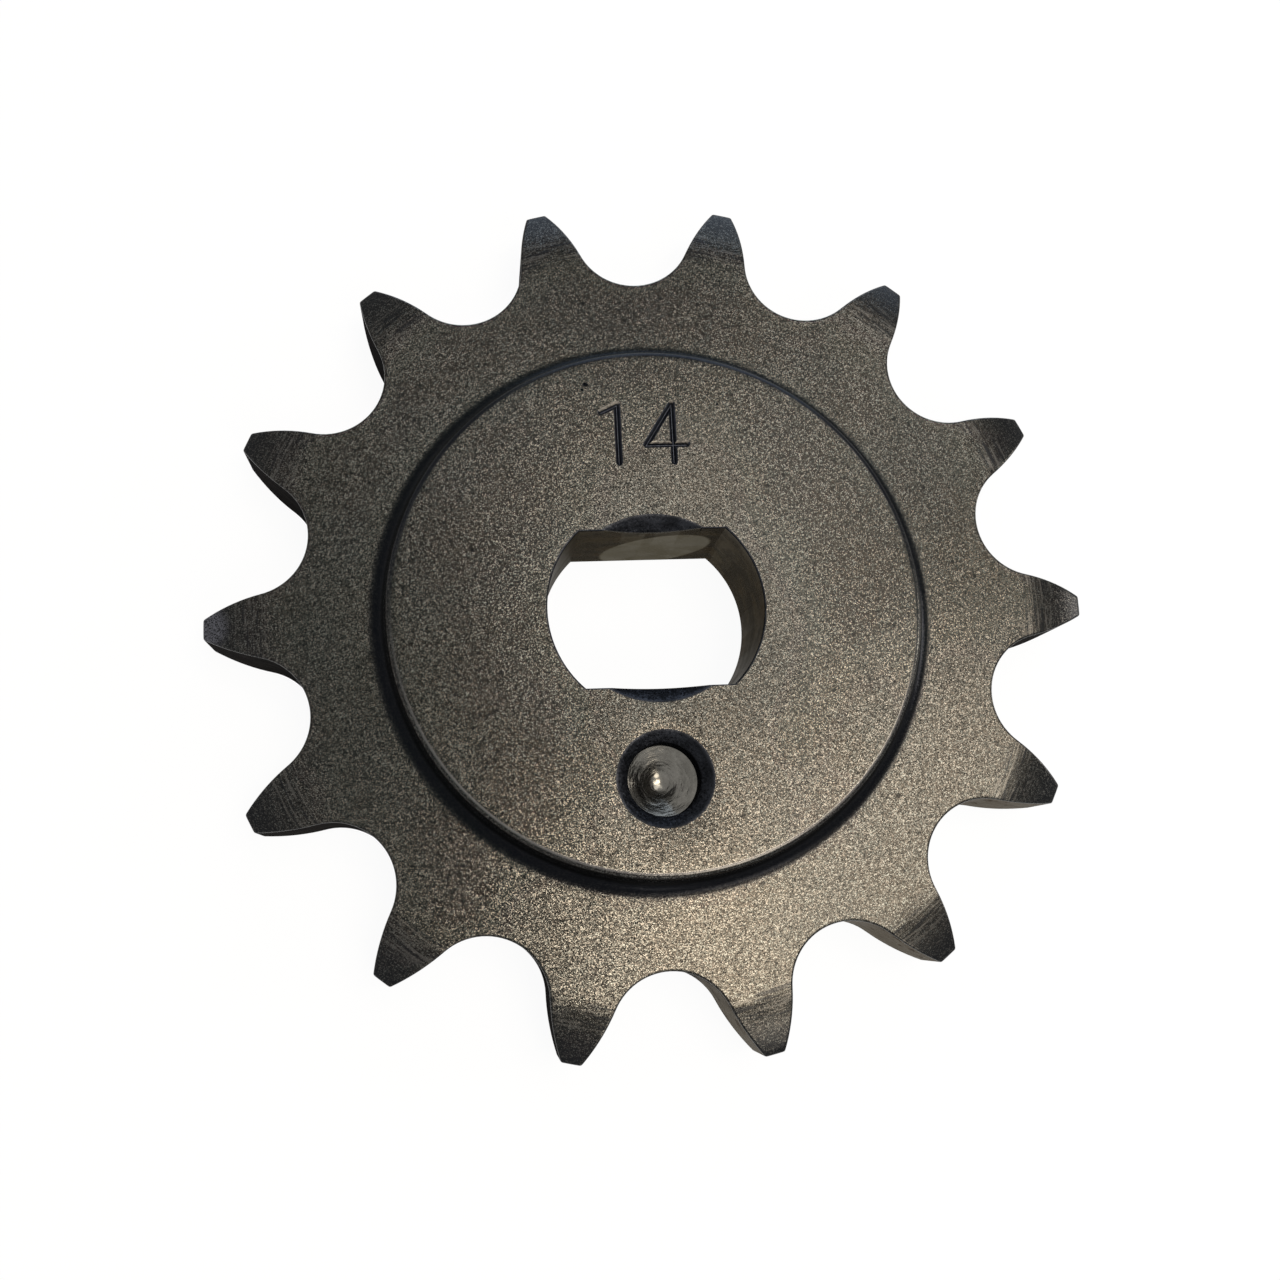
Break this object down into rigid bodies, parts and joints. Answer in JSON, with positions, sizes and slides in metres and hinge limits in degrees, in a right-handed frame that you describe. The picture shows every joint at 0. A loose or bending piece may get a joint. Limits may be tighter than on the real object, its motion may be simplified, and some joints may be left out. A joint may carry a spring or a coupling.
{
  "type": "front sprocket",
  "caption": "Front sprocket: flat toothed plate with a raised round boss, a double-D bore with lead-in countersink, a blind drilled hole and the tooth count stamped on the boss.",
  "frame": {"origin": "centre of the bore on the flat back face", "axes": "+Z along the bore axis towards the boss, +X along the bore's flats, +Y from the bore towards the stamped number"},
  "size_m": [0.0626, 0.0614, 0.0083],
  "materials": {
    "steel": "matte"
  },
  "bodies": {
    "root": {"sprocket": "steel"}
  },
  "joints": []
}
